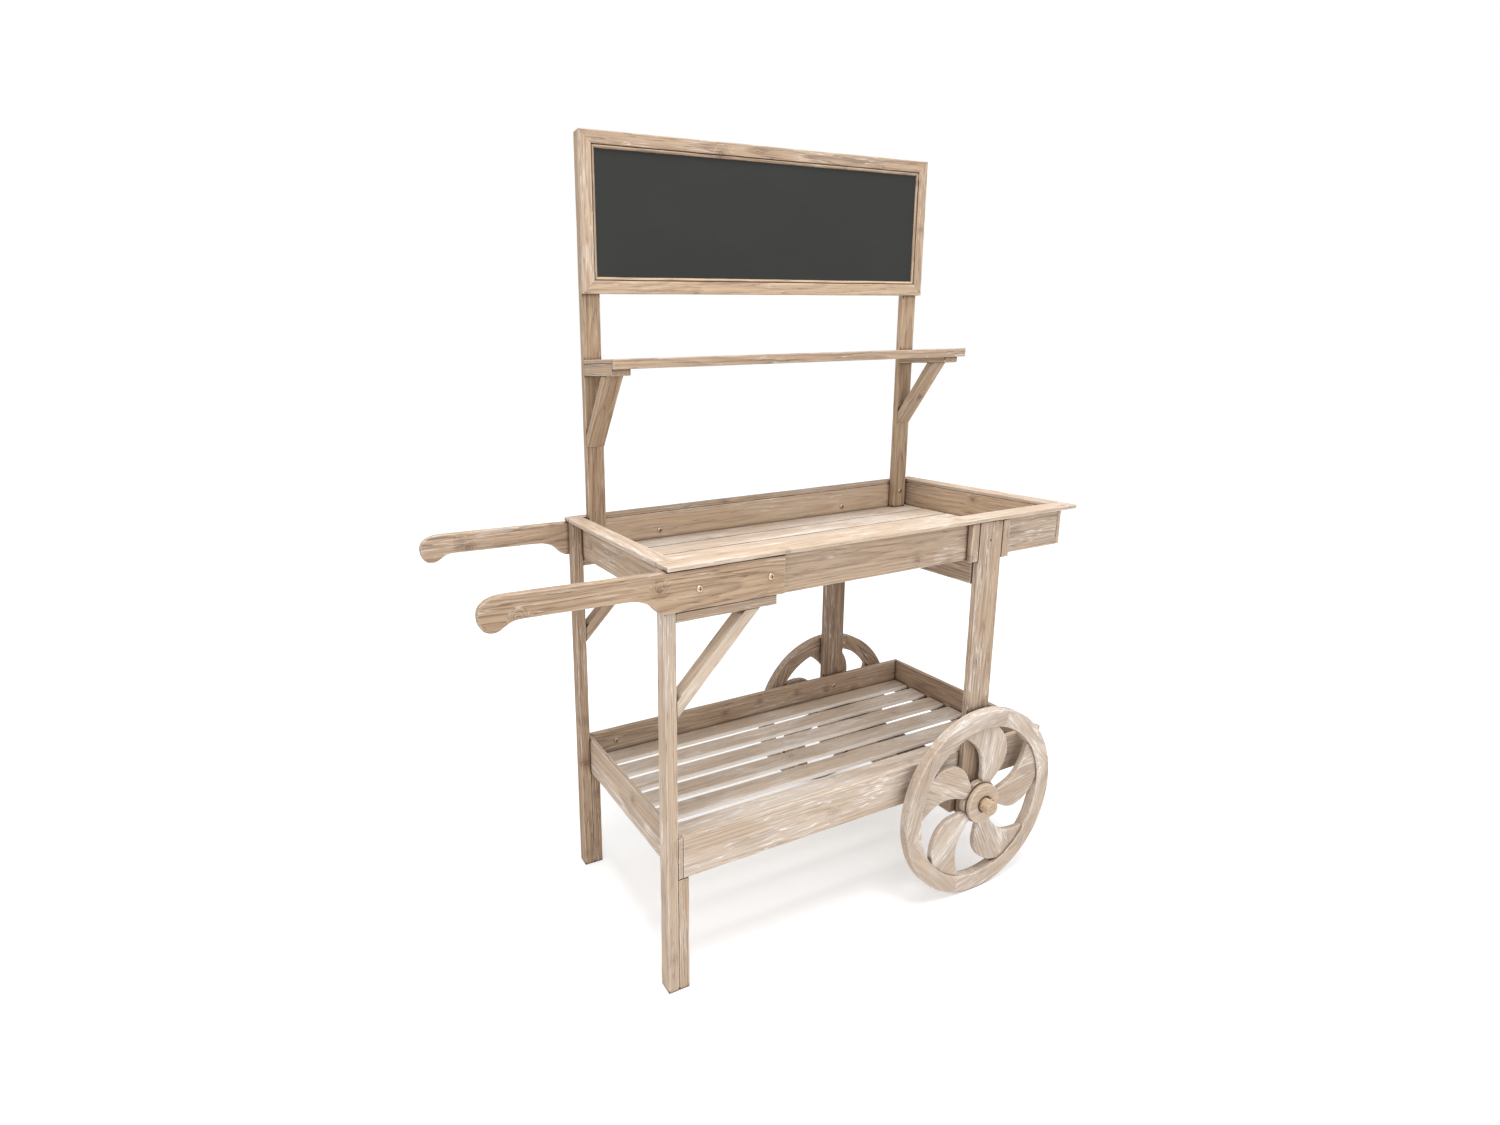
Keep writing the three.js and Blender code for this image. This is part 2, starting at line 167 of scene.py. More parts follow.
def add_node(tree, kind, inputs=None, **settings):
    """Adds a node; inputs maps a socket to a value or to another node's output."""
    made = tree.nodes.new(kind)
    for name, value in settings.items():
        setattr(made, name, value)
    for name, value in (inputs or {}).items():
        if isinstance(value, bpy.types.NodeSocket):
            tree.links.new(value, made.inputs[name])
        else:
            made.inputs[name].default_value = value
    return made


def maths(tree, operation, first, second=0.0, clamp=False):
    inputs = {0: first, 1: second}
    return add_node(tree, "ShaderNodeMath", inputs, operation=operation, use_clamp=clamp).outputs[0]


def scaled(tree, value, slope, offset=0.0, clamp=False):
    """value * slope + offset."""
    inputs = {0: value, 1: slope, 2: offset}
    made = add_node(tree, "ShaderNodeMath", inputs, operation="MULTIPLY_ADD", use_clamp=clamp)
    return made.outputs[0]


def weighted_sum(tree, parts):
    """The sum of (value, weight) pairs."""
    total = 0.0
    for value, weight in parts:
        total = scaled(tree, value, weight, total)
    return total


def noise_value(tree, vector, scale, detail=3.0, roughness=0.5):
    inputs = {"Vector": vector, "Scale": scale, "Detail": detail, "Roughness": roughness}
    return add_node(tree, "ShaderNodeTexNoise", inputs).outputs["Fac"]


def stretched(tree, vector, scale):
    inputs = {0: vector, 1: scale}
    return add_node(tree, "ShaderNodeVectorMath", inputs, operation="MULTIPLY").outputs[0]


def smooth_step(tree, value, low, high):
    inputs = {"Value": value, "From Min": low, "From Max": high}
    settings = {"interpolation_type": "SMOOTHSTEP"}
    return add_node(tree, "ShaderNodeMapRange", inputs, **settings).outputs["Result"]


def mix_colour(tree, factor, first, second, blend="MIX"):
    made = add_node(tree, "ShaderNodeMix", data_type="RGBA", blend_type=blend)
    for name, value in (("Factor_Float", factor), ("A_Color", first), ("B_Color", second)):
        socket = next(s for s in made.inputs if s.identifier == name)
        if isinstance(value, bpy.types.NodeSocket):
            tree.links.new(value, socket)
        else:
            socket.default_value = value
    return next(s for s in made.outputs if s.identifier == "Result_Color")


def attribute(tree, name, output):
    return add_node(tree, "ShaderNodeAttribute", attribute_name=name).outputs[output]


def new_material(name):
    material = bpy.data.materials.new(name)
    material.use_nodes = True
    tree = material.node_tree
    shader = next(n for n in tree.nodes if n.type == "BSDF_PRINCIPLED")
    return material, tree, shader


# ---- Materials -----------------------------------------------------------------

RING_SPACING = 0.0046
RING_TAPER = 0.018            # a board's rings run out of its face along its length
RING_WANDER = 0.03
RING_RISE = (0.3, 0.85)       # where in each ring the late wood starts and is darkest
KNOT_CELL = 0.115
KNOT_SIZE = 0.062             # of a cell
KNOT_SHARE = 0.42             # of the cells have a knot
# How each noise is stretched: turns per metre along, across and into the board.
RING_BENDS = (1.6, 9.0, 9.0)
STREAKS = (3.0, 210.0, 210.0)
PATCHES = (4.0, 16.0, 16.0)
FIBRES = (25.0, 800.0, 800.0)
DARK_LINES = (4.0, 110.0, 110.0)
PALE_LINES = (6.0, 130.0, 240.0)
DARK_LINE_WIDTH = 0.022       # in the noise's own value
PALE_LINE_WIDTH = 0.026
LIGHT_WOOD = (0.53, 0.385, 0.255, 1)
DARK_WOOD = (0.165, 0.098, 0.06, 1)
KNOT_BROWN = (0.13, 0.075, 0.045, 1)
LIME = (0.73, 0.675, 0.62, 1)
# Painted shade: the brown that corners, closed seams and hollows are darkened toward, and how far
# ambient occlusion looks for them.
CREVICE_SHADE = (0.24, 0.17, 0.125, 1)
CREVICE_SHADE_REACH = 0.011
# Painted shade: the near-black a metal head is darkened to where ambient occlusion finds it hemmed
# in, and how far it looks.
RIM_SHADE = (0.03, 0.022, 0.015, 1)
RIM_SHADE_REACH = 0.003
CHALK_BLACK = (0.022, 0.0235, 0.0215, 1)
CHALK_HAZE = (0.04, 0.041, 0.038, 1)
ZINC_DULL = (0.46, 0.33, 0.2, 1)
ZINC_BRIGHT = (0.82, 0.69, 0.52, 1)
FLOOR_GREY = (0.6, 0.6, 0.6, 1)
FLOOR_GLOW = 0.42


def thin_lines(tree, grain, scale, width, detail=2.0):
    """Fine lines that follow the grain, where a stretched noise crosses its middle."""
    value = noise_value(tree, stretched(tree, grain, scale), 1.0, detail, 0.5)
    distance = maths(tree, "ABSOLUTE", maths(tree, "SUBTRACT", value, 0.5))
    return smooth_step(tree, distance, width, width * 0.2)


def ring_lines(tree, grain, knot):
    """Growth rings round a pith beside the board, bent by a slow wander and by knots."""
    wander = noise_value(tree, stretched(tree, grain, RING_BENDS), 1.0, 3.0)
    parts = add_node(tree, "ShaderNodeSeparateXYZ", {0: grain})
    flat = add_node(tree, "ShaderNodeCombineXYZ", {"Y": parts.outputs["Y"], "Z": parts.outputs["Z"]})
    radius = add_node(
        tree, "ShaderNodeVectorMath", {0: flat.outputs[0]}, operation="LENGTH"
    ).outputs["Value"]
    radius = scaled(tree, parts.outputs["X"], RING_TAPER, radius)
    radius = scaled(tree, wander, RING_WANDER, radius)
    phase = scaled(tree, knot, 3.0, maths(tree, "DIVIDE", radius, RING_SPACING))
    ramp = add_node(tree, "ShaderNodeValToRGB", {"Fac": maths(tree, "FRACT", phase)})
    stops = ramp.color_ramp.elements
    stops[0].position, stops[1].position = RING_RISE
    stops[0].color = (0, 0, 0, 1)
    stops[1].color = (1, 1, 1, 1)
    stops.new(1.0).color = (0, 0, 0, 1)
    return ramp.outputs["Color"]


def knots(tree, grain):
    """(halo, heart) of sparse round knots that run through the board's thickness."""
    flat = stretched(tree, grain, (1.0, 1.0, 0.0))
    cells = add_node(
        tree, "ShaderNodeTexVoronoi", {"Vector": flat, "Scale": 1 / KNOT_CELL},
        voronoi_dimensions="2D",
    )
    wobble = noise_value(tree, grain, 90.0, 2.0)
    distance = scaled(tree, wobble, 0.03, cells.outputs["Distance"])
    pick = add_node(tree, "ShaderNodeSeparateColor", {0: cells.outputs["Color"]}).outputs[0]
    chosen = maths(tree, "GREATER_THAN", pick, 1 - KNOT_SHARE)
    halo = smooth_step(tree, distance, KNOT_SIZE * 3.5, KNOT_SIZE)
    heart = smooth_step(tree, distance, KNOT_SIZE * 1.2, KNOT_SIZE * 0.95)
    core = smooth_step(tree, distance, KNOT_SIZE * 0.9, KNOT_SIZE * 0.6)
    heart = scaled(tree, core, -0.6, heart)
    return maths(tree, "MULTIPLY", halo, chosen), maths(tree, "MULTIPLY", heart, chosen)


def bare_wood(tree, grain, streaks, patches, fibres, dark_lines):
    """Rings, streaks and knots, from light to dark brown by how dark each board is set: its own
    colour, and on some boards also painted shade.
    """
    tone_and_shade = attribute(tree, "tone_and_shade", "Fac")
    halo, heart = knots(tree, grain)
    rings = ring_lines(tree, grain, halo)
    darkness = weighted_sum(tree, [
        (maths(tree, "MULTIPLY", rings, patches), 0.75),
        (smooth_step(tree, streaks, 0.35, 0.7), 0.34),
        (dark_lines, 0.45),
        (tone_and_shade, 0.5),
        (halo, 0.25),
        (fibres, 0.12),
    ])
    base = mix_colour(tree, scaled(tree, darkness, 0.8, clamp=True), LIGHT_WOOD, DARK_WOOD)
    return mix_colour(tree, scaled(tree, heart, 0.7), base, KNOT_BROWN)


def lime_cover(tree, grain, lime, streaks, patches):
    """How much lime hides the wood: fine rubbed lines, and a thin veil in patches."""
    pale_lines = thin_lines(tree, grain, PALE_LINES, PALE_LINE_WIDTH)
    where = smooth_step(tree, patches, 0.42, 0.66)
    rubbed = maths(tree, "MULTIPLY", pale_lines, maths(tree, "ADD", 0.12, where))
    rubbed = maths(tree, "MULTIPLY", rubbed, scaled(tree, lime, 0.3, 0.42))
    veil = maths(tree, "MULTIPLY", lime, scaled(tree, where, 0.35, 0.3))
    veil = maths(tree, "MULTIPLY", veil, maths(tree, "ADD", 0.45, streaks))
    return maths(tree, "ADD", rubbed, veil)


def edges_and_seams(tree, lime, fibres):
    """(lime on open edges, partly wear and partly a painted highlight; painted shade, found by
    ambient occlusion, in closed edges and in crevices).
    A full coat of lime, with painted light on the lower slats' sides, keeps the painted shade off."""
    edge = attribute(tree, "edge", "Fac")
    shade = add_node(tree, "ShaderNodeAmbientOcclusion", {"Distance": CREVICE_SHADE_REACH}, samples=6)
    openness = shade.outputs["AO"]
    open_edge = smooth_step(tree, openness, 0.86, 0.97)
    broken = smooth_step(tree, fibres, 0.4, 0.65)
    # Open edges are paled with lime: partly wear, partly a painted highlight, kept to edges that
    # ambient occlusion finds open.
    worn_and_highlit = maths(tree, "MULTIPLY", edge, scaled(tree, broken, 0.35))
    worn_and_highlit = maths(tree, "MULTIPLY", worn_and_highlit, open_edge)
    # Painted shade: closed edges, and places that ambient occlusion finds hemmed in, are darkened.
    seam = maths(tree, "MULTIPLY", edge, maths(tree, "SUBTRACT", 1.0, open_edge))
    painted_shade = scaled(tree, seam, 0.9, smooth_step(tree, openness, 0.9, 0.3), clamp=True)
    return worn_and_highlit, maths(tree, "MULTIPLY", painted_shade, smooth_step(tree, lime, 1.8, 0.4))


def limed_wood(name):
    """Softwood with open grain, and a thin lime wash left in the pores and on the edges, with
    painted shade in corners, seams and hollows and a painted highlight on open edges.
    How brown each board is (on some boards partly painted shade) and its lime (how white) come with
    its mesh."""
    material, tree, shader = new_material(name)
    grain = attribute(tree, "grain", "Vector")
    lime = attribute(tree, "lime", "Fac")
    streaks = noise_value(tree, stretched(tree, grain, STREAKS), 1.0, 5.0, 0.65)
    patches = noise_value(tree, stretched(tree, grain, PATCHES), 1.0, 4.0, 0.6)
    fibres = noise_value(tree, stretched(tree, grain, FIBRES), 1.0, 2.0, 0.6)
    dark_lines = thin_lines(tree, grain, DARK_LINES, DARK_LINE_WIDTH, 3.0)

    wood = bare_wood(tree, grain, streaks, patches, fibres, dark_lines)
    cover = lime_cover(tree, grain, lime, streaks, patches)
    worn_and_highlit, painted_shade = edges_and_seams(tree, lime, fibres)
    # Lime over the wood: the wash itself, and on open edges wear and a painted highlight.
    colour = mix_colour(tree, maths(tree, "ADD", cover, worn_and_highlit, clamp=True), wood, LIME)
    # Painted shade: the colour darkened toward a brown where ambient occlusion finds corners and
    # seams.
    shaded_colour = mix_colour(tree, 1.0, colour, CREVICE_SHADE, "MULTIPLY")
    colour = mix_colour(tree, painted_shade, colour, shaded_colour)

    relief = scaled(tree, fibres, 0.6, scaled(tree, dark_lines, -0.6, streaks))
    bump = add_node(
        tree, "ShaderNodeBump", {"Height": relief, "Strength": 0.5, "Distance": 0.0008}
    )
    tree.links.new(colour, shader.inputs["Base Color"])
    tree.links.new(scaled(tree, streaks, 0.3, 0.62), shader.inputs["Roughness"])
    tree.links.new(bump.outputs[0], shader.inputs["Normal"])
    shader.inputs["Specular IOR Level"].default_value = 0.3
    return material


def chalkboard_paint():
    """Matt charcoal paint with faint wiped chalk."""
    material, tree, shader = new_material("chalkboard_paint")
    place = add_node(tree, "ShaderNodeTexCoord").outputs["Object"]
    smears = noise_value(tree, stretched(tree, place, (2.2, 2.2, 5.0)), 1.0, 5.0, 0.6)
    specks = noise_value(tree, place, 900.0, 2.0)
    haze = scaled(tree, smooth_step(tree, smears, 0.45, 0.8), 0.35)
    colour = mix_colour(tree, haze, CHALK_BLACK, CHALK_HAZE)
    bump = add_node(
        tree, "ShaderNodeBump", {"Height": specks, "Strength": 0.15, "Distance": 0.0003}
    )
    tree.links.new(colour, shader.inputs["Base Color"])
    tree.links.new(scaled(tree, smears, 0.2, 0.62), shader.inputs["Roughness"])
    tree.links.new(bump.outputs[0], shader.inputs["Normal"])
    shader.inputs["Specular IOR Level"].default_value = 0.25
    return material


def zinc_steel():
    """Yellowish zinc-plated steel, dulled in blotches, with painted shade darkening it in its
    recesses and where it meets the wood.
    """
    material, tree, shader = new_material("zinc_steel")
    place = add_node(tree, "ShaderNodeTexCoord").outputs["Object"]
    blotches = noise_value(tree, place, 260.0, 3.0, 0.6)
    colour = mix_colour(tree, blotches, ZINC_DULL, ZINC_BRIGHT)
    shade = add_node(tree, "ShaderNodeAmbientOcclusion", {"Distance": RIM_SHADE_REACH}, samples=6)
    # Painted shade at the head's rim against the wood and in its cross recess.
    painted_rim_shade = smooth_step(tree, shade.outputs["AO"], 0.85, 0.5)
    colour = mix_colour(tree, painted_rim_shade, colour, RIM_SHADE)
    tree.links.new(colour, shader.inputs["Base Color"])
    tree.links.new(scaled(tree, blotches, 0.3, 0.24), shader.inputs["Roughness"])
    shader.inputs["Metallic"].default_value = 1.0
    return material


def plain_floor():
    """A pale floor that glows a little, as a lit studio sweep does."""
    material, _, shader = new_material("floor")
    shader.inputs["Base Color"].default_value = FLOOR_GREY
    shader.inputs["Roughness"].default_value = 0.95
    shader.inputs["Emission Color"].default_value = (1, 1, 1, 1)
    shader.inputs["Emission Strength"].default_value = FLOOR_GLOW
    return material


MATERIALS = {
    "washed_wood": limed_wood("washed_wood"),
    "pale_wood": limed_wood("pale_wood"),
    "wheel_wood": limed_wood("wheel_wood"),
    "chalkboard": chalkboard_paint(),
    "pin_steel": zinc_steel(),
}

# How brown and how white (lime) each group of boards is, by the start of its name. The brown is each
# board's own colour, and on the rear legs, the upper cross rail and the axle beam also painted
# shade, set darker for standing in shade under the trays.
LOOKS = [
    ("rear_left_leg", 1.0, 0.0), ("rear_right_leg", 1.5, 0.0), ("upper_cross_rail", 0.95, 0.05),
    ("axle_beam", 0.9, 0.1), ("lower_slat", 0.0, 1.0), ("top_slat", 0.0, 0.9),
    ("lower_front_board", 0.45, 0.55), ("lower_left_board", 0.6, 0.45),
    ("lower_rear_board", 0.5, 0.12), ("lower_right_board", 0.55, 0.15),
    ("top_rear_board", -0.25, 0.25), ("top_right_board", 0.2, 0.15), ("top_left", 0.55, 0.25),
    ("top_front_board", 0.55, 0.15), ("cap_", 0.25, 0.35),
    ("front_left_leg_block", 0.55, 0.25), ("front_left_leg", 0.35, 0.45),
    ("front_right_leg", 0.55, 0.2), ("front_bracket_brace", 0.15, 0.6),
    ("left_post", 0.45, 0.0), ("right_post", 0.4, 0.05),
    ("sign_top", 0.55, 0.0), ("sign_", 0.27, 0.12), ("shelf_", 0.75, 0.05),
    ("left_shelf", 0.65, 0.0), ("right_shelf", 0.5, 0.1),
    ("front_wheel", 0.8, 0.75), ("rear_wheel", 0.9, 0.15), ("front_hub", 0.35, 0.6),
    ("front_handle", 0.65, 0.12), ("rear_handle", 0.65, 0.12), ("axle_rod", 0.1, 0.2),
]
USUAL_LOOK = (0.5, 0.25)


def look_of(seed):
    for start, tone_and_shade, lime in LOOKS:
        if seed.startswith(start):
            return tone_and_shade, lime
    return USUAL_LOOK


# ---- Solid wood meshes ---------------------------------------------------------

EDGE = 1.5 * MM               # the rounding of a usual sawn edge
EDGE_BAND = 1.6 * MM          # the paler strip beside a worn edge, pale from wear and from a painted highlight
WARP = 0.35 * MM              # how far a sawn face strays from flat
WARP_SCALE = 9                # turns per metre
NICK = WARP * 0.9             # how deep a worn edge is nicked
NICK_SCALE = 55
GRID_STEP = 22 * MM
OUTLINE_STEP = GRID_STEP * 0.6
LEAST_BAND_GAP = 0.2 * MM     # between the bands of a thin board's two edges and its middle
LARGEST_ROUNDING = 0.3        # of a board's thinnest side
WASHED_ROUNDING = 0.98        # of the rounding; further in, a pale-sided board isn't washed with its lime and painted light
BLUNT_CORNER = math.radians(150)            # a corner as open as this isn't rounded
LARGEST_MITRE = 0.4           # keeps an inset corner from running far off
# Where a board was cut from the tree: metres along it, aside of its pith, and out from it.
PITH_ALONG = (0, 60)
PITH_ASIDE = (-0.015, 0.015)
PITH_OUT = (0.03, 0.07)
# The lime value for the lower slats' sides, past a full coat: partly real lime, partly painted light
# where they stand in shade between the slats.
FULL_LIME_AND_LIGHT = 2.5
WARP_SEED = 1
noise.seed_set(WARP_SEED)     # unseeded, Blender's noise starts from the clock
LOOK_SPREAD = 0.15            # how far one board's tone and lime stray from its group's
SHARP_ANGLE = math.radians(50)


class Wood:
    """One visible piece, gathered from one or more bits of solid wood."""

    def __init__(self):
        self.points = []
        self.faces = []
        self.grain = []
        self.edge = []
        self.tone_and_shade = []
        self.lime = []

    def add(self, points, faces, edge, along, across, seed, washed=None):
        """Adds a bit whose grain runs along one direction; seed makes it its own board.
        Points marked as washed carry a full coat of lime and painted light: a value past a full
        coat, whiter than lime alone, which also keeps the painted shade off them."""
        chance = random.Random(seed)
        pith = Vector(
            (
                chance.uniform(*PITH_ALONG),
                chance.uniform(*PITH_ASIDE),
                chance.choice((-1, 1)) * chance.uniform(*PITH_OUT),
            )
        )
        # The group's brown includes painted shade on boards that stand under the trays.
        usual_tone_and_shade, usual_lime = look_of(seed)
        tone_and_shade = usual_tone_and_shade + chance.uniform(-LOOK_SPREAD, LOOK_SPREAD)
        lime = max(0, usual_lime + chance.uniform(-LOOK_SPREAD, LOOK_SPREAD))
        depth = along.cross(across)
        middle = sum(points, Vector()) / len(points)
        start = len(self.points)
        for point, wear, full in zip(points, edge, washed or [False] * len(points)):
            place = point - middle
            self.grain.append(
                Vector((place.dot(along), place.dot(across), place.dot(depth))) + pith
            )
            self.edge.append(wear)
            self.tone_and_shade.append(tone_and_shade)
            self.lime.append(FULL_LIME_AND_LIGHT if full else lime)
            stray = noise.noise_vector(place * WARP_SCALE + pith) * WARP
            nick = noise.noise_vector(place * NICK_SCALE + pith) * (NICK * wear)
            self.points.append(point + stray + nick)
        self.faces += [tuple(start + i for i in face) for face in faces]

    def build(self, name, node, material=None):
        """Makes the object, which stands for its node and rides on that node's body."""
        mesh = bpy.data.meshes.new(name)
        mesh.from_pydata(self.points, [], self.faces)
        for key, kind, values in (
            ("grain", "FLOAT_VECTOR", [c for v in self.grain for c in v]),
            ("edge", "FLOAT", self.edge),
            ("tone_and_shade", "FLOAT", self.tone_and_shade),
            ("lime", "FLOAT", self.lime),
        ):
            layer = mesh.attributes.new(key, kind, "POINT")
            layer.data.foreach_set("vector" if kind == "FLOAT_VECTOR" else "value", values)
        mesh.materials.append(material or MATERIALS[SLOT_OF[node]])
        mesh.polygons.foreach_set("use_smooth", [True] * len(mesh.polygons))
        mesh.set_sharp_from_angle(angle=SHARP_ANGLE)
        piece = bpy.data.objects.new(name, mesh)
        bpy.context.scene.collection.objects.link(piece)
        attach(piece, BODY_OF[node])
        return piece


def axis_cuts(low, high, radius, step):
    """(position, in an edge's rounding) along one side of a plank."""
    curve = radius * (1 - math.tan(math.radians(22.5)))
    band = min(EDGE_BAND, (high - low) / 2 - radius - LEAST_BAND_GAP)
    ends = [(0, True), (curve, True), (radius, True), (radius + band, False)]
    inner = high - low - 2 * (radius + band)
    count = max(1, round(inner / step))
    middle = [(low + radius + band + inner * i / count, False) for i in range(1, count)]
    return (
        [(low + offset, near) for offset, near in ends]
        + middle
        + [(high - offset, near) for offset, near in reversed(ends)]
    )


def add_plank(wood, low, high, seed, radius=EDGE, pale_sides=False):
    """A board with rounded edges, its grain along its longest side."""
    sizes = high - low
    radius = min(radius, min(sizes) * LARGEST_ROUNDING)
    cuts = [axis_cuts(low[i], high[i], radius, GRID_STEP) for i in range(3)]
    index, points, edge, faces = {}, [], [], []

    def corner(key):
        if key not in index:
            place = Vector([cuts[axis][key[axis]][0] for axis in range(3)])
            inner = Vector(
                [min(max(place[a], low[a] + radius), high[a] - radius) for a in range(3)]
            )
            out = place - inner
            if out.length > 1e-9:
                place = inner + out.normalized() * radius
            near = sum(cuts[axis][key[axis]][1] for axis in range(3))
            index[key] = len(points)
            points.append(place)
            edge.append(1.0 if near >= 2 else 0.0)
        return index[key]

    for axis in range(3):
        b, c = (axis + 1) % 3, (axis + 2) % 3
        for end in (0, len(cuts[axis]) - 1):
            for i in range(len(cuts[b]) - 1):
                for j in range(len(cuts[c]) - 1):
                    loop = []
                    for di, dj in ((0, 0), (1, 0), (1, 1), (0, 1)):
                        key = [0, 0, 0]
                        key[axis], key[b], key[c] = end, i + di, j + dj
                        loop.append(corner(tuple(key)))
                    faces.append(tuple(loop if end else reversed(loop)))

    order = sorted(range(3), key=lambda axis: -sizes[axis])
    axes = (X, Y, Z)
    side = order[1]
    reach = radius * WASHED_ROUNDING
    # Points on the long sides get lime and painted light.
    washed = [
        pale_sides and min(p[side] - low[side], high[side] - p[side]) < reach for p in points
    ]
    wood.add(points, faces, edge, axes[order[0]], axes[side], seed, washed)


def rounded_outline(points, radius, steps=3):
    """The same closed outline with its sharp corners rounded off."""
    result = []
    for i, point in enumerate(points):
        before = points[i - 1] - point
        after = points[(i + 1) % len(points)] - point
        angle = before.angle(after)
        if angle > BLUNT_CORNER:
            result.append(point)
            continue
        reach = min(radius / math.tan(angle / 2), before.length * 0.45, after.length * 0.45)
        first = point + before.normalized() * reach
        last = point + after.normalized() * reach
        for k in range(steps + 1):
            t = k / steps
            result.append(first * (1 - t) ** 2 + point * 2 * t * (1 - t) + last * t * t)
    return result


def spaced(points, step):
    """The closed outline with long stretches divided."""
    result = []
    for i, point in enumerate(points):
        follower = points[(i + 1) % len(points)]
        count = max(1, round((follower - point).length / step))
        result += [point.lerp(follower, k / count) for k in range(count)]
    return result


def inset(points, distance):
    """A closed anticlockwise outline moved inwards."""
    result = []
    for i, point in enumerate(points):
        back = (point - points[i - 1]).normalized()
        ahead = (points[(i + 1) % len(points)] - point).normalized()
        bisector = Vector((-(back.y + ahead.y), back.x + ahead.x))
        if bisector.length < 1e-6:
            bisector = Vector((-back.y, back.x))
        bisector.normalize()
        shrink = max(LARGEST_MITRE, bisector.dot(Vector((-ahead.y, ahead.x))))
        result.append(point + bisector * (distance / shrink))
    return result


def add_prism(wood, outline, place, depth, along, across, seed, radius=EDGE):
    """A flat sawn shape with rounded edges. place(a, b, t) gives a point at depth t."""
    area = sum(
        p.x * q.y - q.x * p.y for p, q in zip(outline, outline[1:] + outline[:1])
    )
    if area < 0:
        outline = outline[::-1]
    outline = spaced(outline, OUTLINE_STEP)
    curve = radius * (1 - math.cos(math.pi / 4))
    levels = [
        (radius + EDGE_BAND, 0, 0.0),
        (radius, 0, 1.0),
        (curve, curve, 1.0),
        (0, radius, 1.0),
        (0, radius + EDGE_BAND, 0.0),
        (0, depth - radius - EDGE_BAND, 0.0),
        (0, depth - radius, 1.0),
        (curve, depth - curve, 1.0),
        (radius, depth, 1.0),
        (radius + EDGE_BAND, depth, 0.0),
    ]
    if depth < 2 * (radius + EDGE_BAND) + MM:
        levels = [level for level in levels if level[1] in (0, depth) or level[2]]
    points, edge = [], []
    for pull, t, wear in levels:
        for corner in inset(outline, pull):
            points.append(place(corner.x, corner.y, t))
            edge.append(wear)
    count = len(outline)
    faces = []
    for level in range(len(levels) - 1):
        for i in range(count):
            j = (i + 1) % count
            a, b = level * count + i, level * count + j
            faces.append((a, b, b + count, a + count))
    top = len(points) - count
    flat = [Vector((p.x, p.y, 0)) for p in inset(outline, levels[0][0])]
    for triangle in tessellate_polygon([flat]):
        a, b, c = triangle
        if (flat[b] - flat[a]).cross(flat[c] - flat[a]).z < 0:
            b, c = c, b
        faces += [(a, c, b), (top + a, top + b, top + c)]
    wood.add(points, facing(place, faces), edge, along, across, seed)


def facing(place, faces):
    """The same faces, turned over where place() mirrors the shape."""
    handed = (place(1, 0, 0) - place(0, 0, 0)).cross(place(0, 1, 0) - place(0, 0, 0))
    if handed.dot(place(0, 0, 1) - place(0, 0, 0)) < 0:
        return [tuple(reversed(face)) for face in faces]
    return faces


def add_turned(wood, profile, place, segments, along, across, seed, start=0.0, end=360.0):
    """A lathe shape, or an arc of one, from a closed profile of (radius, height, wear)."""
    whole = end - start >= 360
    columns = segments if whole else segments + 1
    points, edge, faces = [], [], []
    for i in range(columns):
        angle = math.radians(start + (end - start) * i / segments)
        for radius, height, wear in profile:
            points.append(place(radius * math.cos(angle), radius * math.sin(angle), height))
            edge.append(wear)
    count = len(profile)
    for i in range(segments):
        j = (i + 1) % columns
        for k in range(count):
            m = (k + 1) % count
            faces.append((i * count + k, j * count + k, j * count + m, i * count + m))
    if not whole:
        last = (columns - 1) * count
        flat = [Vector((radius, height, 0)) for radius, height, _ in profile]
        for a, b, c in tessellate_polygon([flat]):
            if (flat[b] - flat[a]).cross(flat[c] - flat[a]).z < 0:
                b, c = c, b
            faces += [(a, b, c), (last + a, last + c, last + b)]
    wood.add(points, facing(place, faces), edge, along, across, seed)


def ring_profile(outer, inner, start, end, soft):
    """A flat ring's section with rounded edges, as (radius, depth, wear)."""
    near = soft * 0.3
    band = soft + EDGE_BAND
    return [
        (inner + band, start, 0), (outer - band, start, 0), (outer - soft, start, 1),
        (outer - near, start + near, 1), (outer, start + soft, 1), (outer, start + band, 0),
        (outer, end - band, 0), (outer, end - soft, 1), (outer - near, end - near, 1),
        (outer - soft, end, 1), (outer - band, end, 0), (inner + band, end, 0),
        (inner + soft, end, 1), (inner + near, end - near, 1), (inner, end - soft, 1),
        (inner, end - band, 0), (inner, start + band, 0), (inner, start + soft, 1),
        (inner + near, start + near, 1), (inner + soft, start, 1),
    ]


# ---- Boards --------------------------------------------------------------------

PLAIN_BOARDS = [
    "front_left_leg", "rear_left_leg", "front_left_leg_block", "rear_left_leg_block",
    "front_right_leg", "rear_right_leg",
    "front_left_cleat", "front_right_cleat", "rear_left_cleat", "rear_right_cleat",
    "lower_front_board", "lower_rear_board", "lower_left_board", "lower_right_board",
    "lower_left_batten", "lower_right_batten",
    "top_front_board", "top_rear_board", "top_left_board", "top_right_board",
    "cap_front_rail", "cap_rear_rail", "cap_left_rail", "cap_right_rail",
    "front_bracket_arm", "rear_bracket_arm", "upper_cross_rail", "axle_beam",
    "left_post", "right_post", "shelf_board", "shelf_fascia",
    "left_shelf_arm", "right_shelf_arm",
]
LOWER_SLATS = [f"lower_slat_{i}" for i in range(1, 8)]
SLAT_EDGE = 3 * MM


def make_board(node, radius=EDGE, pale_sides=False):
    wood = Wood()
    low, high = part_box(node)
    add_plank(wood, low, high, node, radius, pale_sides)
    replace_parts(wood.build(f"{node}_wood", node), node)


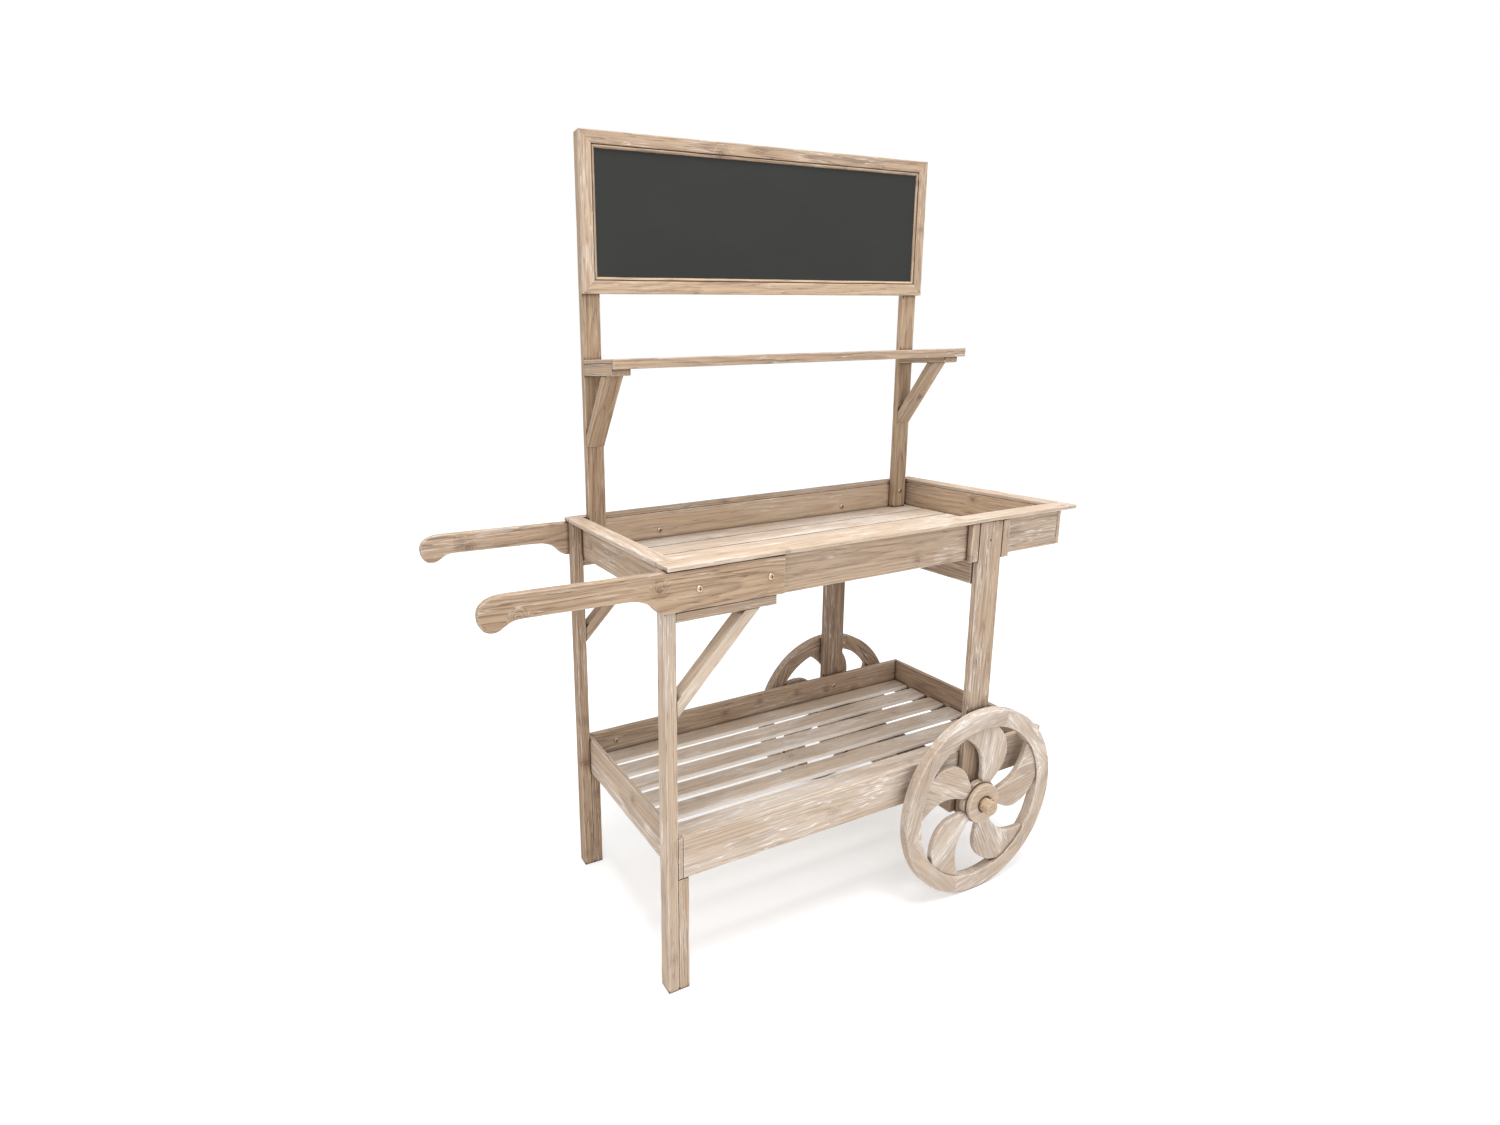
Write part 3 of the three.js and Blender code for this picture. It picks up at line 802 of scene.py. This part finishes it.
def make_boards():
    for node in PLAIN_BOARDS:
        make_board(node)
    for node in LOWER_SLATS:
        # The lower slats' sides get a full coat of lime and painted light, pale where they stand in
        # shade.
        make_board(node, SLAT_EDGE, pale_sides=True)


TOP_SLATS = 6
TOP_SLAT_GAP = 4 * MM
TOP_SLAT_THICK = 10 * MM
TOP_BATTEN_WIDTH = 20 * MM


def make_top_floor():
    """Close-set slats along the cart, on a batten at each end."""
    wood = Wood()
    low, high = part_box("top_floor")
    width = (high.y - low.y - (TOP_SLATS - 1) * TOP_SLAT_GAP) / TOP_SLATS
    underside = high.z - TOP_SLAT_THICK
    for i in range(TOP_SLATS):
        start = low.y + i * (width + TOP_SLAT_GAP)
        slat_low = Vector((low.x, start, underside))
        slat_high = Vector((high.x, start + width, high.z))
        add_plank(wood, slat_low, slat_high, f"top_slat_{i}")
    for i, x in enumerate((low.x, high.x - TOP_BATTEN_WIDTH)):
        batten_low = Vector((x, low.y, low.z))
        batten_high = Vector((x + TOP_BATTEN_WIDTH, high.y, underside))
        add_plank(wood, batten_low, batten_high, f"top_batten_{i}")
    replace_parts(wood.build("top_floor_wood", "top_floor"), "top_floor")


# ---- Braces and handles --------------------------------------------------------


# How long each brace's end cuts are: (at the foot, at the top).
BRACKET_BRACE_CUTS = (36 * MM, 35 * MM)
SHELF_BRACE_CUTS = (30 * MM, 21 * MM)


def make_bracket_braces():
    foot_cut, top_cut = BRACKET_BRACE_CUTS
    for side in SIDES:
        node = f"{side}_bracket_brace"
        low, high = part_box(node)
        outline = [
            Vector((low.x, low.z)),
            Vector((high.x, high.z)),
            Vector((high.x - top_cut, high.z)),
            Vector((low.x, low.z + foot_cut)),
        ]
        along = (X * (high.x - low.x) + Z * (high.z - low.z)).normalized()
        wood = Wood()
        add_prism(
            wood, rounded_outline(outline, EDGE),
            lambda a, b, t: Vector((a, low.y + t, b)), high.y - low.y, along, Y, node,
        )
        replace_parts(wood.build(f"{node}_wood", node), node)


def make_shelf_braces():
    foot_cut, top_cut = SHELF_BRACE_CUTS
    for side in ("left", "right"):
        node = f"{side}_shelf_brace"
        low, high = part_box(node)
        outline = [
            Vector((high.y, low.z)),
            Vector((high.y, low.z + foot_cut)),
            Vector((low.y + top_cut, high.z)),
            Vector((low.y, high.z)),
        ]
        along = (Y * (low.y - high.y) + Z * (high.z - low.z)).normalized()
        wood = Wood()
        add_prism(
            wood, rounded_outline(outline, EDGE),
            lambda a, b, t: Vector((low.x + t, a, b)), high.x - low.x, along, X, node,
        )
        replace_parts(wood.build(f"{node}_wood", node), node)


# The handle's outline in mm from its bulb's left end and its foot's lower edge: the top of
# its shaft, two chains of curves (round the bulb, and down the throat), and its foot.
HANDLE_TOP = [(604.5, 78), (344, 78.5)]
HANDLE_BULB = [
    [(48, 84), (18, 84.5), (0, 73), (0, 54)],
    [(0, 54), (0, 33), (10, 22), (26, 22)],
    [(26, 22), (42, 22), (48, 39), (72, 39)],
]
HANDLE_THROAT = [
    [(261, 35.5), (286, 35), (303, 31), (315, 19)],
    [(315, 19), (324, 9), (330, 1), (346, 0)],
]
HANDLE_FOOT = (602.5, 0)
HANDLE_EDGE = 2 * MM
CURVE_STEPS = 10


def bezier(corners, steps=CURVE_STEPS):
    a, b, c, d = (Vector(corner) for corner in corners)
    result = []
    for k in range(steps):
        t = k / steps
        u = 1 - t
        result.append(a * u ** 3 + b * 3 * u * u * t + c * 3 * u * t * t + d * t ** 3)
    return result


def handle_outline():
    points = [Vector(corner) for corner in HANDLE_TOP]
    for chain in (HANDLE_BULB, HANDLE_THROAT):
        for curve in chain:
            points += bezier(curve)
        points.append(Vector(chain[-1][-1]))
    return points + [Vector(HANDLE_FOOT)]


def make_handles():
    for side in SIDES:
        node = f"{side}_handle"
        low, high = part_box(node)
        outline = [Vector((low.x + p.x * MM, low.z + p.y * MM)) for p in handle_outline()]
        wood = Wood()
        add_prism(
            wood, rounded_outline(outline, HANDLE_EDGE),
            lambda a, b, t: Vector((a, low.y + t, b)), high.y - low.y, X, Z, node, HANDLE_EDGE,
        )
        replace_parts(wood.build(f"{node}_wood", node), node)


# ---- Sign ----------------------------------------------------------------------

# Across a frame member: (distance in from the outer edge, distance back from the front).
MOULDING = [
    (0, 12.5), (0, 1.6), (0.5, 0.5), (1.6, 0), (3.2, 0), (12, 0), (24, 0), (26.4, 0),
    (27.4, 0.3), (27.9, 1.3), (28.3, 2.3), (29.0, 2.4), (29.4, 1.6), (30.2, 0.9), (31.4, 0.8),
    (32.8, 1.3), (34.2, 2.4), (35.4, 3.6), (36, 4.6), (36, 12.5),
]
MOULDING_CRESTS = (1, 2, 3, 8, 9, 10, 11, 12, 17, 18)
MITRE_GAP = 0.15 * MM         # from each member's mitred end to the joint
CHALKBOARD_EDGE = 0.6 * MM


def make_moulding(node, start, end, front):
    """One mitred frame member, between two of the sign's outer corners."""
    along = (end - start).normalized()
    inward = along.cross(Y)
    cuts = max(2, round((end - start).length / GRID_STEP))
    points, edge, faces = [], [], []
    for i in range(cuts + 1):
        for k, (across, back) in enumerate(MOULDING):
            first = start + along * (across * MM + MITRE_GAP)
            last = end - along * (across * MM + MITRE_GAP)
            place = first.lerp(last, i / cuts) + inward * (across * MM)
            place.y = front + back * MM
            points.append(place)
            edge.append(1.0 if k in MOULDING_CRESTS else 0.0)
    count = len(MOULDING)
    for i in range(cuts):
        for k in range(count):
            m = (k + 1) % count
            faces.append(
                (i * count + k, (i + 1) * count + k, (i + 1) * count + m, i * count + m)
            )
    faces.append(tuple(range(count)))
    faces.append(tuple(reversed(range(cuts * count, (cuts + 1) * count))))
    wood = Wood()
    wood.add(points, faces, edge, along, inward, node)
    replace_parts(wood.build(f"{node}_wood", node), node)


def make_sign_frame():
    """Four members, anticlockwise round the sign as seen from the front."""
    low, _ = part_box("sign_left_stile")
    _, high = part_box("sign_right_stile")
    bottom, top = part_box("sign_bottom_rail")[0].z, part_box("sign_top_rail")[1].z
    corners = [
        Vector((low.x, 0, bottom)), Vector((high.x, 0, bottom)),
        Vector((high.x, 0, top)), Vector((low.x, 0, top)),
    ]
    members = ("sign_bottom_rail", "sign_right_stile", "sign_top_rail", "sign_left_stile")
    for i, node in enumerate(members):
        make_moulding(node, corners[i], corners[(i + 1) % 4], low.y)


def make_chalkboard():
    wood = Wood()
    low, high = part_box("chalkboard")
    add_plank(wood, low, high, "chalkboard", CHALKBOARD_EDGE)
    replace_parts(wood.build("chalkboard_panel", "chalkboard"), "chalkboard")


# ---- Wheels and axle -----------------------------------------------------------

RIM_WIDTH = 42 * MM
RIM_THICK = 22 * MM
RIM_PARTS = 6
RIM_STEPS = 18
RIM_PHASE = 12                # degrees to the first rim joint
WHEEL_EDGE = 2 * MM
WEB_THICK = 13 * MM
WEB_RECESS = 4 * MM
SPOKES = 5
SPOKE_EDGE = 2.5 * MM
SPOKE_LEAN = 80               # degrees, the direction of the first spoke's grain
HUB_CORE = 52 * MM
HUB_SEGMENTS = 48
DISC_SEGMENTS = 64
BORE = 18 * MM
SPOKE_TIP = 192 * MM          # let 5 mm into the rim, past the rounding of the spoke's face
SPOKE_TIP_ANGLES = range(78, 109, 3)
# A spoke's two sides from hub to rim and back: (radius in mm, degrees).
SPOKE_LEADING = [
    (46, 54), (57, 52), (80, 49.3), (104, 49), (128, 52.8), (150, 59.5), (170, 67.5), (188, 76),
]
SPOKE_TRAILING = [
    (188, 110), (170, 105), (148, 99), (128, 94), (108, 90.5), (82, 88.5), (57, 88), (46, 87),
]


def turned_place(side, node):
    """place(x, z, depth inwards from the node's outer face), about the node's centre."""
    low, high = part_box(node)
    centre = (low + high) / 2
    outer, inwards = (low.y, 1) if side == "front" else (high.y, -1)
    return lambda a, b, t: Vector((centre.x + a, outer + inwards * t, centre.z + b))


def polar(radius, degrees):
    angle = math.radians(degrees)
    return Vector((radius * math.cos(angle), radius * math.sin(angle)))


def smooth_curve(points, steps=4):
    """Catmull-Rom points through the given ones."""
    result = []
    for i in range(len(points) - 1):
        p0, p1 = points[max(i - 1, 0)], points[i]
        p2, p3 = points[i + 1], points[min(i + 2, len(points) - 1)]
        for k in range(steps):
            t = k / steps
            result.append(
                (p1 * 2 + (p2 - p0) * t + (p0 * 2 - p1 * 5 + p2 * 4 - p3) * t * t
                 + (p1 * 3 - p0 - p2 * 3 + p3) * t ** 3) * 0.5
            )
    return result + [points[-1]]


def spoke_outline(turn):
    leading = smooth_curve([polar(r * MM, a + turn) for r, a in SPOKE_LEADING])
    trailing = smooth_curve([polar(r * MM, a + turn) for r, a in SPOKE_TRAILING])
    tip = [polar(SPOKE_TIP, a + turn) for a in SPOKE_TIP_ANGLES]
    return leading + tip + trailing


def make_wheels():
    for side in SIDES:
        node = f"{side}_wheel"
        low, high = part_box(node)
        place = turned_place(side, node)
        outer = (high.z - low.z) / 2
        rim = ring_profile(outer, outer - RIM_WIDTH, 0, RIM_THICK, WHEEL_EDGE)
        wood = Wood()
        for i in range(RIM_PARTS):
            start = RIM_PHASE + 360 / RIM_PARTS * i
            end = start + 360 / RIM_PARTS
            middle = math.radians((start + end) / 2)
            along = Vector((-math.sin(middle), 0, math.cos(middle)))
            across = Vector((math.cos(middle), 0, math.sin(middle)))
            add_turned(wood, rim, place, RIM_STEPS, along, across, f"{node}_rim_{i}", start, end)
        for i in range(SPOKES):
            turn = 360 / SPOKES * i
            middle = math.radians(SPOKE_LEAN + turn)
            along = Vector((math.cos(middle), 0, math.sin(middle)))
            across = Vector((-math.sin(middle), 0, math.cos(middle)))
            add_prism(
                wood, spoke_outline(turn), lambda a, b, t: place(a, b, t + WEB_RECESS),
                WEB_THICK, along, across, f"{node}_spoke_{i}", SPOKE_EDGE,
            )
        core = ring_profile(HUB_CORE, BORE, WEB_RECESS, WEB_RECESS + WEB_THICK, WHEEL_EDGE)
        add_turned(wood, core, place, HUB_SEGMENTS, X, Z, f"{node}_core")
        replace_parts(wood.build(f"{node}_wood", node), node)


def make_hub_discs():
    for side in SIDES:
        node = f"{side}_hub_disc"
        low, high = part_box(node)
        profile = ring_profile((high.z - low.z) / 2, BORE, 0, high.y - low.y, WHEEL_EDGE)
        wood = Wood()
        add_turned(wood, profile, turned_place(side, node), DISC_SEGMENTS, X, Z, node)
        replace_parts(wood.build(f"{node}_wood", node), node)


AXLE_EDGE = 1.6 * MM
AXLE_SEGMENTS = 48
TURNED_HEART = 0.5 * MM       # the tiny flat left at a turned end's centre


def make_axle():
    low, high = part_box("axle_rod")
    centre = (low + high) / 2
    radius = (high.z - low.z) / 2
    length = high.y - low.y
    soft = AXLE_EDGE
    rows = round(length / GRID_STEP)
    profile = [
        (TURNED_HEART, 0, 0), (radius * 0.5, 0, 0), (radius - soft, 0, 1),
        (radius - soft * 0.3, soft * 0.3, 1),
    ]
    profile += [(radius, soft + (length - 2 * soft) * k / rows, 0) for k in range(rows + 1)]
    profile += [
        (radius - soft * 0.3, length - soft * 0.3, 1), (radius - soft, length, 1),
        (radius * 0.5, length, 0), (TURNED_HEART, length, 0),
    ]
    wood = Wood()
    add_turned(
        wood, profile, lambda a, b, t: Vector((centre.x + a, low.y + t, centre.z + b)),
        AXLE_SEGMENTS, Y, X, "axle_rod",
    )
    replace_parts(wood.build("axle_rod_wood", "axle_rod"), "axle_rod")


# ---- Metal ---------------------------------------------------------------------

METAL_SEGMENTS = 32
METAL_SHARP_ANGLE = math.radians(40)
CROSS_WIDTH = 0.28            # shares of a cross recess's reach
CROSS_DEPTH = 0.55
HEAD_CROWN = 0.75             # the domed share of a head's height
HEAD_FLAT = 0.4 * MM          # the tiny flat left at a head's crown


def make_metal(name, profile, centre, axis, body, recess=0.0):
    """A turned metal piece: profile is (radius, height along axis) from the base up."""
    turn = axis.to_track_quat("Z", "Y").to_matrix()
    segments = METAL_SEGMENTS
    points, faces = [], []
    for radius, height in profile:
        for i in range(segments):
            angle = 2 * math.pi * i / segments
            local = Vector((radius * math.cos(angle), radius * math.sin(angle), height))
            points.append(centre + turn @ local)
    for k in range(len(profile) - 1):
        for i in range(segments):
            j = (i + 1) % segments
            faces.append(
                (k * segments + i, k * segments + j, (k + 1) * segments + j, (k + 1) * segments + i)
            )
    faces.append(tuple(reversed(range(segments))))
    faces.append(tuple(range(len(points) - segments, len(points))))
    mesh = bpy.data.meshes.new(name)
    mesh.from_pydata(points, [], faces)
    mesh.materials.append(MATERIALS["pin_steel"])
    mesh.polygons.foreach_set("use_smooth", [True] * len(mesh.polygons))
    mesh.set_sharp_from_angle(angle=METAL_SHARP_ANGLE)
    piece = bpy.data.objects.new(name, mesh)
    bpy.context.scene.collection.objects.link(piece)
    if recess:
        cut_cross(piece, centre, turn, profile[-1][1], recess)
    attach(piece, body)
    return piece


def carve(piece, points, faces):
    """Cuts a closed shape out of a piece."""
    mesh = bpy.data.meshes.new("cutter")
    mesh.from_pydata(points, [], faces)
    cutter = bpy.data.objects.new("cutter", mesh)
    bpy.context.scene.collection.objects.link(cutter)
    cut = piece.modifiers.new("cut", "BOOLEAN")
    cut.object = cutter
    cut.operation = "DIFFERENCE"
    cut.solver = "EXACT"
    made = bpy.data.meshes.new_from_object(
        piece.evaluated_get(bpy.context.evaluated_depsgraph_get())
    )
    piece.modifiers.clear()
    piece.data = made
    bpy.data.objects.remove(cutter)


def cut_cross(piece, centre, turn, height, size):
    """A cross recess sunk in a screw's head."""
    faces = [(0, 1, 3, 2), (4, 6, 7, 5), (0, 4, 5, 1), (2, 3, 7, 6), (0, 2, 6, 4), (1, 5, 7, 3)]
    thin, deep = size * CROSS_WIDTH, size * CROSS_DEPTH
    for long, short in ((size, thin), (thin, size)):
        points = [
            centre + turn @ Vector((sx * long, sy * short, height + sz * deep))
            for sx in (-1, 1) for sy in (-1, 1) for sz in (-1, 1)
        ]
        carve(piece, points, faces)


def dome(radius, height, steps=6):
    """A low pan head's profile, from its rim to its crown."""
    wall = 1 - HEAD_CROWN
    profile = [(radius, 0), (radius, height * wall)]
    for k in range(1, steps + 1):
        angle = math.pi / 2 * k / steps
        across = max(radius * math.cos(angle), HEAD_FLAT)
        profile.append((across, height * (wall + HEAD_CROWN * math.sin(angle))))
    return profile


HEAD_RADIUS = 6.8 * MM
HEAD_HEIGHT = 3.4 * MM
HEAD_SINK = 0.4 * MM          # how far a head is pressed into the wood
HEAD_CROSS = HEAD_RADIUS * 0.55
# Heads on each tray's rear board: (distance in from the board's left end, height) in mm.
TRAY_BOLTS = {"top": ((205, 38), (777, 36)), "lower": ((70, 57), (771.5, 59))}
HANDLE_BOLTS = (34 * MM, 191.5 * MM)        # in from the handle's foot end
HANDLE_BOLT_HEIGHT = 39 * MM
POST_BOLT = (3 * MM, 46 * MM)               # right of the post's middle, and above its foot
LEG_HOLE_DROP = 43 * MM       # below the top of the front right leg
LEG_HOLE_RADIUS = 2.2 * MM
LEG_HOLE_DEPTH = 6 * MM
LEG_HOLE_SIDES = 16
SAME_POINT = 1e-6
FLOOR_SCREW = (199 * MM, 8 * MM)        # in from the top floor's left end and rear side
SCREW_RADIUS = 3.2 * MM
SCREW_HEIGHT = 0.9 * MM
SCREW_PROUD = 0.3 * MM


def make_bolts():
    """Pan-head bolts on the handles, the posts and the trays' inner faces."""
    places = []
    for side, out in (("front", -1), ("rear", 1)):
        low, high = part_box(f"{side}_handle")
        face = low.y if out < 0 else high.y
        for offset in HANDLE_BOLTS:
            place = Vector((high.x - offset, face, low.z + HANDLE_BOLT_HEIGHT))
            places.append((f"{side}_handle", place, Y * out))
    aside, above = POST_BOLT
    for side in ("left", "right"):
        low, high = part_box(f"{side}_post")
        place = Vector(((low.x + high.x) / 2 + aside, low.y, low.z + above))
        places.append((f"{side}_post", place, -Y))
    for tray, bolts in TRAY_BOLTS.items():
        low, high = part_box(f"{tray}_rear_board")
        for across, up in bolts:
            place = Vector((low.x + across * MM, low.y, low.z + up * MM))
            places.append((f"{tray}_rear_board", place, -Y))
    profile = dome(HEAD_RADIUS, HEAD_HEIGHT)
    for index, (node, place, out) in enumerate(places):
        sunk = place - out * HEAD_SINK
        make_metal(f"bolt_{index}", profile, sunk, out, BODY_OF[node], HEAD_CROSS)


def carve_wood(piece, points, faces, along, across):
    """Cuts a closed shape out of a wooden piece. The cut's new points take their looks from
    the nearest old point, with the grain carried on from it."""
    old = piece.data
    tree = KDTree(len(old.vertices))
    for vertex in old.vertices:
        tree.insert(vertex.co, vertex.index)
    tree.balance()
    carve(piece, points, faces)
    mesh = piece.data
    depth = along.cross(across)
    for vertex in mesh.vertices:
        place, nearest, distance = tree.find(vertex.co)
        gap = vertex.co - place
        run = Vector((gap.dot(along), gap.dot(across), gap.dot(depth)))
        grain = old.attributes["grain"].data[nearest].vector
        mesh.attributes["grain"].data[vertex.index].vector = grain + run
        for key in ("edge", "tone_and_shade", "lime"):
            value = old.attributes[key].data[nearest].value
            mesh.attributes[key].data[vertex.index].value = value
        if distance > SAME_POINT:
            mesh.attributes["edge"].data[vertex.index].value = 0
    mesh.set_sharp_from_angle(angle=SHARP_ANGLE)


def drill_leg():
    """An empty screw hole high on the front right leg."""
    node = "front_right_leg"
    low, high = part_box(node)
    mouth = Vector(((low.x + high.x) / 2, low.y, high.z - LEG_HOLE_DROP))
    count = LEG_HOLE_SIDES
    angles = [2 * math.pi * k / count for k in range(count)]
    points = [
        mouth + Vector((math.cos(a), 0, math.sin(a))) * LEG_HOLE_RADIUS + Y * reach
        for reach in (-LEG_HOLE_DEPTH, LEG_HOLE_DEPTH) for a in angles
    ]
    faces = [tuple(range(count)), tuple(reversed(range(count, 2 * count)))]
    faces += [(k, k + count, (k + 1) % count + count, (k + 1) % count) for k in range(count)]
    carve_wood(bpy.data.objects[f"{node}_wood"], points, faces, Z, X)


def make_floor_screw():
    """One small flat head at the back of the top floor."""
    node = "top_floor"
    low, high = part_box(node)
    from_left, from_rear = FLOOR_SCREW
    place = Vector((low.x + from_left, high.y - from_rear, high.z))
    profile = [
        (SCREW_RADIUS, 0), (SCREW_RADIUS, SCREW_HEIGHT * 0.7), (SCREW_RADIUS * 0.8, SCREW_HEIGHT),
    ]
    base = place - Z * (SCREW_HEIGHT - SCREW_PROUD)
    make_metal(f"{node}_screw", profile, base, Z, BODY_OF[node])


NAIL_TILT = math.radians(12)
NAIL_EDGE = 0.5 * MM


def make_linchpins():
    """A nail through the axle's end, a little tilted, with its head at the right."""
    for side in SIDES:
        node = f"{side}_linchpin"
        low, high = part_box(node)
        centre = (low + high) / 2
        radius = (high.y - low.y) / 2
        length = high.x - low.x
        axis = Vector((math.cos(NAIL_TILT), 0, math.sin(NAIL_TILT)))
        half = length / 2 - MM
        soft = NAIL_EDGE
        profile = [
            (radius - soft, -half), (radius, -half + soft), (radius, half - 1.6 * MM),
            (radius * 1.7, half - 1.3 * MM), (radius * 1.8, half - 0.4 * MM), (radius * 1.4, half),
        ]
        piece = make_metal(f"{node}_nail", profile, centre, axis, BODY_OF[node])
        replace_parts(piece, node)


# ---- The scene -----------------------------------------------------------------

bpy.context.scene.view_settings.view_transform = "Standard"
make_camera()
make_floor()
make_lights()
make_boards()
make_top_floor()
make_bracket_braces()
make_shelf_braces()
make_handles()
make_sign_frame()
make_chalkboard()
make_wheels()
make_hub_discs()
make_axle()
make_bolts()
drill_leg()
make_floor_screw()
make_linchpins()
